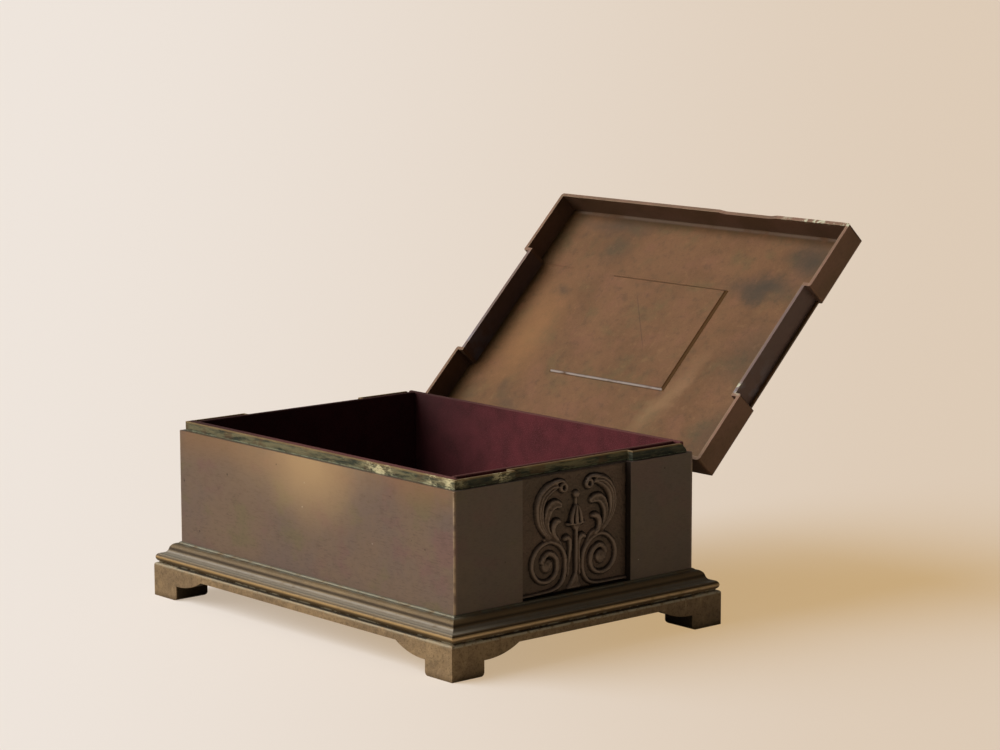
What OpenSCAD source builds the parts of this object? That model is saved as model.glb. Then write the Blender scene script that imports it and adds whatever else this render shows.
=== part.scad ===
// Cast bronze table chest on bracket feet, with a hinged lid and a cloth-covered lining.
// The origin is the centre of the footprint, on the surface that the feet stand on.
// +X is the right side, -Y the front and +Z up. The lid is drawn open, against its stop.

/* [Walls] */
// Width of the box over its walls
chest_w = 280; // [240:1:360]
// Depth of the box over its walls
chest_d = 196; // [180:1:260]
// Height of the walls above the base moulding
wall_h = 75; // [70:1:110]
// Thickness of the wall panels
wall_t = 3; // [2.8:0.1:4]
// Radius of the upright corners
corner_r = 1; // [0.4:0.1:2]

/* [Side recess] */
// Width of the recess in each side wall
recess_w = 89; // [86:1:100]
// Depth of the recess
recess_d = 5; // [4.6:0.1:7]

/* [Relief plaques] */
// Thickness of the plaque behind its relief
plaque_t = 1.5; // [1.3:0.1:2]
// Gap round the edge of the plaque
plaque_gap = 0.3; // [0.2:0.1:0.6]
// Height of the plaque's lower edge above the base moulding
plaque_foot = 1.2; // [0.8:0.1:3]
// Radius of the raised ribs
rib_r = 1.15; // [0.8:0.05:1.25]
// Radius of the outermost turn of a volute
volute_r = 13.2; // [12:0.1:13.6]
// How much smaller each half turn of a volute is
volute_step = 2.5; // [2.4:0.1:2.8]
// Height of the relief's leaves
leaf_h = 1.5; // [0.8:0.1:2]

/* [Rebate tongue] */
// Thickness of the strip that stands inside the rim
tongue_t = 1.6; // [1.2:0.1:2]
// How far the strip stands above the rim
tongue_h = 6; // [4:0.5:7]
// How far the strip reaches down inside the wall
tongue_drop = 16; // [8:1:30]
// Extra room behind the recess, for the lid's swing
tongue_swing = 1.2; // [1.2:0.1:2]

/* [Base] */
// Overhang of the plinth beyond the walls
plinth_o = 13; // [12:0.5:18]
// Height of the foot frame, up to the plinth top
plinth_h = 22; // [20:0.5:30]
// Thickness of the rails between the feet
rail_t = 5.6; // [4.5:0.1:7]
// Radius along the plinth's top edge
plinth_r = 1.6; // [0.5:0.1:2.5]
// Height of the base moulding
moulding_h = 13.5; // [12:0.5:18]
// Thickness of the bottom plate
bottom_t = 2.5; // [2:0.1:4]

/* [Bracket feet] */
// Side of the square foot block
foot_w = 25; // [23:0.5:32]
// Length of the bracket wing beyond the block
wing_l = 27.5; // [20:0.5:34]
// How far the wing drops below the rail at the block
wing_drop = 6.8; // [4:0.2:9]
// Thickness of the bracket wing
wing_t = 8; // [5:0.5:12]
// Radius along the block's lower inner edges
foot_r = 2.5; // [1:0.1:4]

/* [Lid] */
// Height of the lid's rim
lid_h = 18; // [17:0.5:26]
// Thickness of the lid's rim
rim_t = 2.5; // [2:0.1:2.5]
// Thickness of the lid's plate
lid_t = 2.5; // [2.2:0.1:4]
// Radius along the lid's outer top edge
lid_r = 2.2; // [1:0.1:2.4]
// How far the lid's plate steps in where it passes over the recess
lip_in = 2.7; // [1.5:0.1:4]
// Radius of the lid's upright corners beside the recess
jog_r = 1.5; // [0.5:0.1:2]
// Width of the panel pressed into the lid
panel_w = 109; // [70:1:150]
// Depth of the panel from front to back
panel_d = 83; // [50:1:110]
// How far the panel is pressed in
panel_rise = 1.7; // [1:0.1:2]
// Width of the sloping border of the panel
panel_slope = 1.8; // [1:0.1:3]
// Place of the shallow thumb notch along the front rim
notch_x = 47; // [-60:1:60]
// Length of the thumb notch
notch_w = 48; // [20:1:60]
// Depth of the thumb notch
notch_d = 1.2; // [0.5:0.1:2.5]

/* [Hinge] */
// Angle of the lid when it rests on its stop
open_angle = 134.4; // [110:0.2:140]
// Length of the hinge
hinge_len = 182; // [140:1:220]
// Radius of the hinge barrel
barrel_r = 2.5; // [2.4:0.1:2.6]
// Radius of the hinge pin
pin_r = 1.1; // [0.8:0.05:1.3]
// Thickness of the hinge leaves
leaf_t = 1.5; // [1.4:0.1:2]
// Height of each hinge leaf
leaf_w = 15; // [14:0.5:16]
// Distance of the hinge axis behind the back wall
axis_out = 1.2; // [1.1:0.1:1.4]
// Distance of the hinge axis below the rim
axis_drop = 3.8; // [3.7:0.1:5]
// Radius of the hinge screws
screw_r = 1.2; // [0.9:0.05:1.3]

/* [Lining] */
// Thickness of the cloth-covered boards
board_t = 3; // [2:0.1:4]
// How far the boards stand above the rim
board_h = 6.6; // [4:0.2:8]

/* [Hidden] */
$fn = 24;
screw_fn = 16;
rib_fn = 14;

// Half sizes of the box, and the half width of its recess
hw = chest_w / 2;
hd = chest_d / 2;
hr = recess_w / 2;

// Levels from the floor up
rail_z = plinth_h - rail_t;
wall_z = plinth_h + moulding_h;
seam_z = wall_z + wall_h;
floor_z = plinth_h + bottom_t;

// Clearances
seam_gap = 0.35;
lining_gap = 0.3;
knuckle_gap = 0.3;
swing_gap = 0.35;
stop_gap = 0.15;
bore_gap = 0.05;
groove_gap = 0.3;
reach = 22;

// Base moulding, from the ledge at the wall foot down to the bead
ledge_o = 1.5;
ledge_z = moulding_h - 0.4;
hollow_o = plinth_o - 2.8;
hollow_z = 6;
bead_r = 2.9;
bead_o = plinth_o - 3.6;
bead_z = 3.5;

// Inner faces of the lining boards at front and back, and outer face of those at the sides
board_front = -hd + wall_t + tongue_t + lining_gap + board_t;
board_back = hd - wall_t - lining_gap - board_t;
board_side = hw - wall_t - recess_d - tongue_t - lining_gap;
board_end = hw - wall_t - tongue_t - lining_gap;

// Lid levels when it is shut
lid_z = seam_z + seam_gap;
lid_top = lid_z + lid_h;

// Hinge axis, leaves and their screws
axis_y = hd + axis_out;
axis_z = seam_z - axis_drop;
leaf_out = leaf_t - axis_out;
knuckles = 7;
pitch = hinge_len / knuckles;
head_r = 2.1;
head_t = 0.9;
box_screw_z = axis_z - 11;
lid_screw_z = lid_z + 7.5;

// Screws of the base
base_screw_r = 1.5;
base_head_r = 2.8;
base_head_t = 1.6;
screw_inset = 7.5;
foot_screw_len = 12;

// Relief: places are measured across from the middle and up from the base moulding
volute_x = 20.5;
volute_y = 18.5;
tail_r = 10;
ridge_y = plaque_foot + 1.6;
relief_side = hr - plaque_gap;

bronze = "#6b5647";
dark_bronze = "#443832";
golden = "#84694a";
verdigris = "#5e6656";
cloth = "#64303a";
steel = "#8d8a80";

function arc(c, r, a0, a1, n) =
    [for (i = [0:n]) c + r * [cos(a0 + (a1 - a0) * i / n), sin(a0 + (a1 - a0) * i / n)]];

// A line along a side that steps in by d between the two jogs
function jog(x, d, y0, y1, j0, j1) =
    [[x, y0], [x, j0], [x - d, j0], [x - d, j1], [x, j1], [x, y1]];

function backwards(list) = [for (i = [len(list) - 1:-1:0]) list[i]];

// A band of even thickness that follows the recess of a side wall
function jog_band(x, t, y0, y1, j0, j1) =
    concat(jog(x, recess_d, y0, y1, j0, j1), backwards(jog(x - t, recess_d, y0, y1, j0 - t, j1 + t)));

// Profiles drawn as across and up are carried along X or along Y
module along_x(x0, x1) {
    translate([x0, 0, 0]) rotate([90, 0, 90]) linear_extrude(x1 - x0) children();
}

module along_y(y0, y1) {
    translate([0, y1, 0]) rotate([90, 0, 0]) linear_extrude(y1 - y0) children();
}

// Mitre wedges that keep the front strip or the right strip of a four-sided frame
module front_wedge() {
    linear_extrude(lid_top + reach)
        polygon([[-hw - reach, -hd - reach], [hw + reach, -hd - reach], [hw - reach, -hd + reach],
            [-hw + reach, -hd + reach]]);
}

module right_wedge() {
    linear_extrude(lid_top + reach)
        polygon([[hw + reach, -hd - reach], [hw + reach, hd + reach], [hw - reach, hd - reach],
            [hw - reach, -hd + reach]]);
}

// The outline of the box with its corners rounded, as a tall prism
module rounded_prism(r) {
    linear_extrude(lid_top + reach) {
        square([chest_w - 2 * r, chest_d], center = true);
        square([chest_w, chest_d - 2 * r], center = true);
        for (sx = [-1, 1], sy = [-1, 1]) translate([sx * (hw - r), sy * (hd - r)]) circle(r);
    }
}

module mirrored_x() {
    mirror([1, 0, 0]) children();
}

module mirrored_y() {
    mirror([0, 1, 0]) children();
}

// Everything on the lid is drawn shut and swung back about the hinge axis
module swung_open() {
    translate([0, axis_y, axis_z]) rotate([-open_angle, 0, 0]) translate([0, -axis_y, -axis_z]) children();
}

// Wall panels, mitred at the corners and standing on the foot frame
module plain_wall() {
    intersection() {
        translate([-hw, -hd, plinth_h]) cube([chest_w, wall_t, seam_z - plinth_h]);
        front_wedge();
        rounded_prism(corner_r);
    }
}

module wall_front() {
    color(bronze) plain_wall();
}

module wall_back() {
    color(bronze) difference() {
        mirrored_y() plain_wall();
        translate([-hinge_len / 2 - groove_gap, axis_y, axis_z]) rotate([0, 90, 0])
            cylinder(h = hinge_len + 2 * groove_gap, r = barrel_r + groove_gap);
        leaf_screw_places(box_screw_z) cylinder(h = leaf_t + wall_t + 1, r = screw_r + bore_gap);
    }
}

module side_wall() {
    intersection() {
        translate([0, 0, plinth_h]) linear_extrude(seam_z - plinth_h)
            polygon(jog_band(hw, wall_t, -hd, hd, -hr, hr));
        right_wedge();
        rounded_prism(corner_r);
    }
}

module wall_left() {
    color(dark_bronze) mirrored_x() side_wall();
}

module wall_right() {
    color(dark_bronze) side_wall();
}

// Relief plaques: a thin plate with a pair of scrolls, leaves and a flower bell
module rib_arc(c, r, a0, a1) {
    translate([c[0], c[1], 0]) rotate([0, 0, a0]) rotate_extrude(angle = a1 - a0)
        translate([r, 0]) circle(rib_r, $fn = rib_fn);
}

module rib_line(a, b, r = rib_r) {
    run = b - a;
    translate([a[0], a[1], 0]) rotate([0, 0, atan2(run[1], run[0])]) rotate([0, 90, 0])
        cylinder(h = norm(run), r = r, $fn = rib_fn);
}

// Half turns of shrinking radius run in to the button at the middle
module volute() {
    for (k = [0:4]) {
        back = k % 2;
        rib_arc([-volute_x - back * volute_step, volute_y], volute_r - k * volute_step,
            180 * back, 180 * back + 180);
    }
    translate([-volute_x, volute_y, 0]) cylinder(h = leaf_h, r = volute_r - 4 * volute_step + 0.8);
    side_x = volute_r - volute_x;
    rib_line([side_x, ridge_y + tail_r], [side_x, volute_y]);
    rib_arc([side_x - tail_r, ridge_y + tail_r], tail_r, -90, 0);
    rib_line([-relief_side + rib_r, ridge_y], [side_x - tail_r, ridge_y]);
}

// A leaf lobe is the crescent left of a smaller disc
module crescent(c, r, bite, bite_r, tip_x) {
    intersection() {
        difference() {
            translate([c[0], c[1], 0]) cylinder(h = leaf_h, r = r);
            translate([bite[0], bite[1], -1]) cylinder(h = leaf_h + 2, r = bite_r);
        }
        translate([-relief_side, 0, 0]) cube([relief_side + tip_x, wall_h, leaf_h]);
    }
}

module leaf() {
    crescent([-17, 53], 16.5, [-13.2, 51], 13.2, -11.5);
    crescent([-17, 47.5], 10, [-13.6, 45.2], 8, -12.5);
    crescent([-17.5, 41], 6.2, [-14.6, 39.2], 4.8, -13);
    rib_arc([-11.8, 65.4], 1.9, 20, 290);
    rib_arc([-4.6, 31], 2.2, 20, 180);
    rib_line([-6.8, 22], [-6.8, 31], rib_r * 0.8);
}

module flower() {
    rib_line([0, ridge_y], [0, 41]);
    linear_extrude(leaf_h * 0.6) polygon([[-7, ridge_y], [7, ridge_y], [2.2, 9], [1, 18], [-1, 18], [-2.2, 9]]);
    linear_extrude(leaf_h) polygon([[-5.6, 43], [5.6, 43], [2.4, 51], [0.9, 54.5], [-0.9, 54.5], [-2.4, 51]]);
    rib_line([-6.4, 42.4], [6.4, 42.4], rib_r * 0.8);
    for (s = [-1, 0, 1]) rib_line([s * 3.4, 43], [s * 0.9, 53], rib_r * 0.5 + leaf_h * 0.4);
    rib_line([0, 53], [0, 58], rib_r * 0.8);
    translate([0, 59.6, 0]) sphere(r = 2.3);
}

module plaque() {
    translate([hw - recess_d, 0, wall_z]) rotate([90, 0, 90]) {
        translate([-relief_side, plaque_foot, 0])
            cube([2 * relief_side, wall_h - plaque_foot - plaque_gap, plaque_t]);
        translate([0, 0, plaque_t]) intersection() {
            union() {
                for (m = [0, 1]) mirror([m, 0, 0]) {
                    volute();
                    leaf();
                }
                flower();
            }
            translate([-relief_side, plaque_foot, -plaque_t / 2])
                cube([2 * relief_side, wall_h - plaque_foot - plaque_gap, recess_d]);
        }
    }
}

module plaque_left() {
    color(dark_bronze) mirrored_x() plaque();
}

module plaque_right() {
    color(dark_bronze) plaque();
}

// Rebate tongue: strips soldered inside the walls, over which the lid's rim closes
module tongue_front() {
    color(verdigris) translate([-hw + wall_t, -hd + wall_t, seam_z - tongue_drop])
        cube([chest_w - 2 * wall_t, tongue_t, tongue_drop + tongue_h]);
}

module side_tongue() {
    end_y = hd - wall_t;
    start_y = -hd + wall_t + tongue_t;
    intersection() {
        translate([0, 0, seam_z - tongue_drop]) linear_extrude(tongue_drop + tongue_h)
            polygon(jog_band(hw - wall_t, tongue_t, start_y, end_y, -hr - wall_t, hr + wall_t + tongue_swing));
        along_x(0, hw) polygon([[start_y, seam_z - tongue_drop], [end_y, seam_z - tongue_drop],
            [end_y, seam_z + tongue_h * 0.3], [end_y - tongue_h * 0.7, seam_z + tongue_h],
            [start_y, seam_z + tongue_h]]);
    }
}

module tongue_left() {
    color(verdigris) mirrored_x() side_tongue();
}

module tongue_right() {
    color(verdigris) side_tongue();
}

// Bottom plate, lying on the foot frame between the walls
module bottom_plate() {
    right = jog(hw - wall_t, recess_d, -hd + wall_t, hd - wall_t, -hr - wall_t, hr + wall_t);
    left = [for (p = backwards(right)) [-p[0], p[1]]];
    color(dark_bronze) difference() {
        translate([0, 0, plinth_h]) linear_extrude(bottom_t) polygon(concat(right, left));
        all_base_screw_places() cylinder(h = plinth_h + bottom_t + 1, r = base_screw_r + bore_gap);
    }
}

// Base moulding: a ledge, an ogee and a half-round bead, mitred round the box
module moulding_profile() {
    top = [ledge_o, ledge_z];
    foot = [hollow_o, hollow_z];
    run = foot - top;
    r = (run[0] * run[0] + run[1] * run[1]) / (-4 * run[1]);
    turn = atan2(run[1] + 2 * r, run[0]);
    polygon(concat([[0, 0], [0, moulding_h + 0.7], [0.9, moulding_h + 0.3]],
        arc(top - [0, r], r, 90, turn, 8), arc(foot + [0, r], r, 180 + turn, 270, 8),
        arc([bead_o, bead_z], bead_r, 60, -66, 12), [[bead_o + 1.1, 0]]));
}

module long_moulding() {
    intersection() {
        along_x(-hw - reach, hw + reach) translate([-hd, plinth_h]) mirror([1, 0, 0]) moulding_profile();
        front_wedge();
    }
}

module side_moulding() {
    intersection() {
        along_y(-hd - reach, hd + reach) translate([hw, plinth_h]) moulding_profile();
        right_wedge();
    }
    translate([hw - recess_d, -hr, plinth_h]) cube([recess_d + 0.5, recess_w, ledge_z]);
}

module moulding_front() {
    color(golden) long_moulding();
}

module moulding_back() {
    color(golden) mirrored_y() long_moulding();
}

module moulding_left() {
    color(golden) mirrored_x() side_moulding();
}

module moulding_right() {
    color(golden) side_moulding();
}

// Foot frame: rails between bracket feet; places run inwards from the plinth's outer face
module rail_profile() {
    polygon(concat([[0, rail_z], [foot_w, rail_z], [foot_w, plinth_h]],
        arc([plinth_r, plinth_h - plinth_r], plinth_r, 90, 180, 6)));
}

module long_rail() {
    end_x = hw + plinth_o - foot_w - wing_l;
    difference() {
        along_x(-end_x, end_x) translate([-hd - plinth_o, 0]) rail_profile();
        long_rail_screw_places() rail_screw_hole();
    }
}

module side_rail() {
    end_y = hd + plinth_o - foot_w - wing_l;
    along_y(-end_y, end_y) translate([hw + plinth_o, 0]) mirror([1, 0, 0]) rail_profile();
}

module rail_front() {
    color(golden) long_rail();
}

module rail_back() {
    color(golden) mirrored_y() long_rail();
}

module rail_left() {
    color(golden) mirrored_x() side_rail();
}

module rail_right() {
    color(golden) side_rail();
}

// The foot block has its lower inner edges rounded, and a curved wing along each side
module block_profile() {
    polygon(concat([[0, 0]], arc([foot_w - foot_r, foot_r], foot_r, -90, 0, 6), [[foot_w, plinth_h]],
        arc([plinth_r, plinth_h - plinth_r], plinth_r, 90, 180, 6)));
}

module wing_profile() {
    steps = 14;
    curve = [for (i = [0:steps]) [foot_w + wing_l * i / steps, rail_z - wing_drop * (1 - pow(i / steps, 2.3))]];
    polygon(concat([[foot_w - 1, rail_z + 1], [foot_w - 1, rail_z - wing_drop]], curve,
        [[foot_w + wing_l, rail_z + 1]]));
}

module foot_casting() {
    difference() {
        union() {
            intersection() {
                along_x(0, foot_w) block_profile();
                along_y(0, foot_w) block_profile();
            }
            along_x(foot_w - 1, foot_w + wing_l) rail_profile();
            along_y(foot_w - 1, foot_w + wing_l) rail_profile();
            along_y(0, wing_t) wing_profile();
            along_x(0, wing_t) wing_profile();
        }
        translate([plinth_o + screw_inset, plinth_o + screw_inset, -1]) {
            cylinder(h = plinth_h + 2, r = base_screw_r + bore_gap);
            cylinder(h = floor_z - foot_screw_len + 1, r = base_head_r + 0.2);
        }
    }
}

module at_corner(sx, sy) {
    mirror([sx > 0 ? 1 : 0, 0, 0]) mirror([0, sy > 0 ? 1 : 0, 0])
        translate([-hw - plinth_o, -hd - plinth_o, 0]) children();
}

module foot_front_left() {
    color(golden) at_corner(-1, -1) foot_casting();
}

module foot_front_right() {
    color(golden) at_corner(1, -1) foot_casting();
}

module foot_back_left() {
    color(golden) at_corner(-1, 1) foot_casting();
}

module foot_back_right() {
    color(golden) at_corner(1, 1) foot_casting();
}

// Screws of the base, driven from below into the bottom plate
module foot_screw_places() {
    $fn = screw_fn;
    for (sx = [-1, 1], sy = [-1, 1])
        translate([sx * (hw - screw_inset), sy * (hd - screw_inset), 0]) children();
}

module long_rail_screw_places() {
    $fn = screw_fn;
    for (sx = [-1, 1]) translate([sx * hw / 3, -hd + screw_inset, 0]) children();
}

module rail_screw_places() {
    long_rail_screw_places() children();
    mirrored_y() long_rail_screw_places() children();
}

module all_base_screw_places() {
    foot_screw_places() children();
    rail_screw_places() children();
}

module rail_screw_hole() {
    translate([0, 0, rail_z - 1]) cylinder(h = rail_t + 2, r = base_screw_r + bore_gap);
    translate([0, 0, rail_z - 1]) cylinder(h = base_head_t + 1, r = base_head_r + 0.2);
}

// A round-headed screw that stands head down on z0 and reaches up to z1
module base_screw(z0, z1) {
    translate([0, 0, z0]) cylinder(h = base_head_t - 0.1, r = base_head_r);
    translate([0, 0, z0]) cylinder(h = z1 - z0, r = base_screw_r);
}

module foot_screws() {
    color(steel) foot_screw_places() base_screw(floor_z - foot_screw_len - base_head_t + 0.1, floor_z - 0.2);
}

module rail_screws() {
    color(steel) rail_screw_places() base_screw(rail_z, floor_z - 0.2);
}

// Lining boards, standing on a floor board inside the tongue
module lining_floor() {
    side_x = hw - wall_t - recess_d - lining_gap;
    side_y = hd - wall_t - lining_gap;
    color(cloth) translate([-side_x, -side_y, floor_z]) cube([2 * side_x, 2 * side_y, board_t]);
}

module board(x0, x1, y0, y1) {
    z0 = floor_z + board_t + lining_gap;
    translate([x0, y0, z0]) cube([x1 - x0, y1 - y0, seam_z + board_h - z0]);
}

module lining_front() {
    color(cloth) board(-board_end, board_end, board_front - board_t, board_front);
}

module lining_back() {
    color(cloth) board(-board_end, board_end, board_back, board_back + board_t);
}

module side_board() {
    board(board_side - board_t, board_side, board_front + lining_gap, board_back - lining_gap);
}

module lining_left() {
    color(cloth) mirrored_x() side_board();
}

module lining_right() {
    color(cloth) side_board();
}

// Hinge: seven knuckles let into the back wall, a leaf on the wall and one on the lid's rim
module leaf_screw_places(z) {
    $fn = screw_fn;
    for (i = [0:2:knuckles - 1])
        translate([-hinge_len / 2 + (i + 0.5) * pitch, hd + leaf_t, z]) rotate([90, 0, 0]) children();
}

module knuckle_run(i, r) {
    translate([-hinge_len / 2 + i * pitch + knuckle_gap / 2, axis_y, axis_z]) rotate([0, 90, 0])
        cylinder(h = pitch - knuckle_gap, r = r);
}

module knuckle_room(i, z0, z1) {
    translate([-hinge_len / 2 + i * pitch - knuckle_gap / 2, hd - 1, z0])
        cube([pitch + knuckle_gap, 4 * barrel_r, z1 - z0]);
}

module pin_bore() {
    translate([-hinge_len / 2 - 1, axis_y, axis_z]) rotate([0, 90, 0])
        cylinder(h = hinge_len + 2, r = pin_r + bore_gap);
}

module hinge_box_leaf() {
    color(golden) difference() {
        union() {
            difference() {
                translate([-hinge_len / 2, hd, axis_z - leaf_w]) cube([hinge_len, leaf_t, leaf_w]);
                for (i = [1:2:knuckles - 1])
                    knuckle_room(i, axis_z - barrel_r - swing_gap, axis_z + barrel_r);
            }
            for (i = [0:2:knuckles - 1]) knuckle_run(i, barrel_r);
        }
        pin_bore();
        leaf_screw_places(box_screw_z) translate([0, 0, -2]) cylinder(h = leaf_t + 4, r = screw_r + bore_gap);
    }
}

module hinge_pin() {
    color(steel) translate([-hinge_len / 2, axis_y, axis_z]) rotate([0, 90, 0])
        cylinder(h = hinge_len, r = pin_r);
}

// A domed screw whose shank runs in along +Z from under its head
module leaf_screw(grip) {
    cylinder(h = grip, r = screw_r);
    translate([0, 0, -head_t]) cylinder(h = head_t, r1 = head_r * 0.7, r2 = head_r);
}

module box_leaf_screws() {
    color(steel) leaf_screw_places(box_screw_z) leaf_screw(leaf_t + wall_t - 0.2);
}

// Lid: a plate with a pressed panel, inside four rim strips
module lid_plate() {
    right = jog(hw - rim_t, recess_d, -hd + rim_t, hd - rim_t, -hr - rim_t, hr + rim_t);
    left = [for (p = backwards(right)) [-p[0], p[1]]];
    color(golden) swung_open() difference() {
        union() {
            translate([0, 0, lid_top - lid_t]) linear_extrude(lid_t) polygon(concat(right, left));
            lip();
            mirrored_x() lip();
            pressed_panel(lid_top - lid_t);
        }
        pressed_panel(lid_top);
    }
}

// Over the recess the plate reaches out past the rim, with the same rounded edge
module lip() {
    intersection() {
        along_y(-hr, hr) rim_profile(hw - lip_in);
        translate([0, -hr, lid_top - lid_t]) cube([hw, recess_w, lid_t]);
    }
}

// A shallow block with four sloping sides, widest at its upper face
module pressed_panel(z) {
    intersection() {
        along_x(-hw, hw) panel_profile(panel_d / 2, z);
        along_y(-hd, hd) panel_profile(panel_w / 2, z);
    }
}

module panel_profile(half, z) {
    out = half + panel_slope;
    polygon([[-out, z + 0.01], [-out, z], [-half, z - panel_rise], [half, z - panel_rise], [out, z], [out, z + 0.01]]);
}

// The rim's outer face is at edge, with a rounded top corner; the body behind it is solid
module rim_profile(edge) {
    polygon(concat([[edge - reach, lid_z], [edge, lid_z]],
        arc([edge - lid_r, lid_top - lid_r], lid_r, 0, 90, 8), [[edge - reach, lid_top]]));
}

module plain_rim() {
    intersection() {
        difference() {
            along_x(-hw, hw) mirror([1, 0, 0]) rim_profile(hd);
            translate([-hw, -hd + rim_t, lid_z - 1]) cube([chest_w, chest_d, lid_h + 2]);
        }
        front_wedge();
        rounded_prism(lid_r);
    }
}

module lid_rim_front() {
    color(dark_bronze) swung_open() difference() {
        plain_rim();
        along_y(-hd - 1, -hd + rim_t + 1) polygon([[notch_x - notch_w / 2 - 3, lid_z - 1],
            [notch_x - notch_w / 2 - 3, lid_z], [notch_x - notch_w / 2 + 3, lid_z + notch_d],
            [notch_x + notch_w / 2 - 3, lid_z + notch_d], [notch_x + notch_w / 2 + 3, lid_z],
            [notch_x + notch_w / 2 + 3, lid_z - 1]]);
    }
}

module lid_rim_back() {
    color(dark_bronze) swung_open() difference() {
        mirrored_y() plain_rim();
        leaf_screw_places(lid_screw_z) cylinder(h = leaf_t + rim_t + 1, r = screw_r + bore_gap);
    }
}

// What a rounded upright corner beside the recess leaves out
module jog_corner() {
    translate([hw - jog_r, hr + jog_r, 0]) linear_extrude(lid_top + reach) difference() {
        translate([0, -jog_r - 1]) square([jog_r + 1, jog_r + 1]);
        circle(jog_r);
    }
}

// Beside the recess the strip turns in and runs on under the plate's lip
module side_rim() {
    intersection() {
        difference() {
            union() {
                along_y(-hd, -hr) rim_profile(hw);
                along_y(hr, hd) rim_profile(hw);
                translate([hw - recess_d - rim_t, -hr - rim_t, lid_z])
                    cube([rim_t, recess_w + 2 * rim_t, lid_h - lid_t]);
            }
            translate([0, 0, lid_z - 1]) linear_extrude(lid_h + 2)
                polygon(concat([[0, -hd - 1]], jog(hw - rim_t, recess_d, -hd - 1, hd + 1, -hr - rim_t, hr + rim_t),
                    [[0, hd + 1]]));
            jog_corner();
            mirrored_y() jog_corner();
        }
        right_wedge();
        rounded_prism(lid_r);
    }
}

module lid_rim_left() {
    color(dark_bronze) swung_open() mirrored_x() side_rim();
}

module lid_rim_right() {
    color(dark_bronze) swung_open() side_rim();
}

// The heel on each lid knuckle meets the wall leaf and stops the lid
module heel_profile() {
    near = barrel_r + 0.6;
    far = near + 3.4;
    stop_y = leaf_out + stop_gap;
    a = [stop_y * cos(open_angle) + near * sin(open_angle), stop_y * sin(open_angle) - near * cos(open_angle)];
    b = [stop_y * cos(open_angle) + far * sin(open_angle), stop_y * sin(open_angle) - far * cos(open_angle)];
    polygon([[0, a[1]], a, b, b + [0, 1.5], [leaf_out - 0.2, b[1] + 4.5], [0, b[1] + 4.5]]);
}

module hinge_lid_leaf() {
    color(golden) swung_open() difference() {
        union() {
            difference() {
                translate([-hinge_len / 2, hd, axis_z]) cube([hinge_len, leaf_t, lid_z - axis_z + leaf_w - 1]);
                translate([-hinge_len / 2 - 1, hd - 1, axis_z - 1]) cube([hinge_len + 2, 1 + swing_gap, lid_z - axis_z + 1]);
                for (i = [0:2:knuckles - 1]) knuckle_room(i, axis_z - 1, axis_z + barrel_r + swing_gap);
            }
            for (i = [1:2:knuckles - 1]) {
                knuckle_run(i, barrel_r);
                translate([0, axis_y, axis_z]) along_x(-hinge_len / 2 + i * pitch + knuckle_gap / 2,
                    -hinge_len / 2 + (i + 1) * pitch - knuckle_gap / 2) heel_profile();
            }
        }
        pin_bore();
        leaf_screw_places(lid_screw_z) translate([0, 0, -2]) cylinder(h = leaf_t + 4, r = screw_r + bore_gap);
    }
}

module lid_leaf_screws() {
    color(steel) swung_open() leaf_screw_places(lid_screw_z) leaf_screw(leaf_t + rim_t - 0.2);
}

wall_front();
wall_back();
wall_left();
wall_right();
plaque_left();
plaque_right();
tongue_front();
tongue_left();
tongue_right();
bottom_plate();
moulding_front();
moulding_back();
moulding_left();
moulding_right();
rail_front();
rail_back();
rail_left();
rail_right();
foot_front_left();
foot_front_right();
foot_back_left();
foot_back_right();
foot_screws();
rail_screws();
lining_floor();
lining_front();
lining_back();
lining_left();
lining_right();
hinge_box_leaf();
hinge_pin();
box_leaf_screws();
lid_plate();
lid_rim_front();
lid_rim_back();
lid_rim_left();
lid_rim_right();
hinge_lid_leaf();
lid_leaf_screws();
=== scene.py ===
"""A cast bronze table chest with an open lid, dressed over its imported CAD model."""

import math

import bmesh
import bpy
import numpy as np
from mathutils import Matrix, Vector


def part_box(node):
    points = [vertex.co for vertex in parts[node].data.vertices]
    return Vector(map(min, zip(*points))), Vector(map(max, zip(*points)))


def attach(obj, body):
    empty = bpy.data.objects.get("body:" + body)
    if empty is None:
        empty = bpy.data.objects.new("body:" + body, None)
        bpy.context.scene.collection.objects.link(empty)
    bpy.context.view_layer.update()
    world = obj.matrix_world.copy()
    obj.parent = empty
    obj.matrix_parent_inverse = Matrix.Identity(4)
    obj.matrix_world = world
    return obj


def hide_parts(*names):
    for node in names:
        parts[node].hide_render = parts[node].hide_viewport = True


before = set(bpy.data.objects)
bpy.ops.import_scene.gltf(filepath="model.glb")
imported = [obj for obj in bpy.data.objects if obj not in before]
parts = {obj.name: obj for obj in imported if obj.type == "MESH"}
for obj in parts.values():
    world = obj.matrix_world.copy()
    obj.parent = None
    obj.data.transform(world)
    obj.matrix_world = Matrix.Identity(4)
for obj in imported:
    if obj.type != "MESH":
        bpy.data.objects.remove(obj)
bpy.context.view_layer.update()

# Camera: a long lens a little above the chest, off its front right corner, where the
# photograph was taken from. Its place is in metres from the middle of the footprint.
camera_place = (1.46199, -1.20588, 0.44948)
azimuth, elevation, roll = (math.radians(a) for a in (49.135, 8.89, -0.122))
back = np.array([math.sin(azimuth) * math.cos(elevation),
                 -math.cos(azimuth) * math.cos(elevation),
                 math.sin(elevation)])
right = np.array([math.cos(azimuth), math.sin(azimuth), 0])
up = np.cross(back, right)
turned_right = math.cos(roll) * right + math.sin(roll) * up
turned_up = math.cos(roll) * up - math.sin(roll) * right
camera = bpy.data.objects.new("camera", bpy.data.cameras.new("camera"))
camera.data.sensor_width = 36
camera.data.lens = 107.974
camera.data.clip_end = 100
facing = Matrix(np.column_stack([turned_right, turned_up, back])).to_4x4()
camera.matrix_world = Matrix.Translation(camera_place) @ facing
bpy.context.scene.collection.objects.link(camera)
bpy.context.scene.camera = camera


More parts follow.
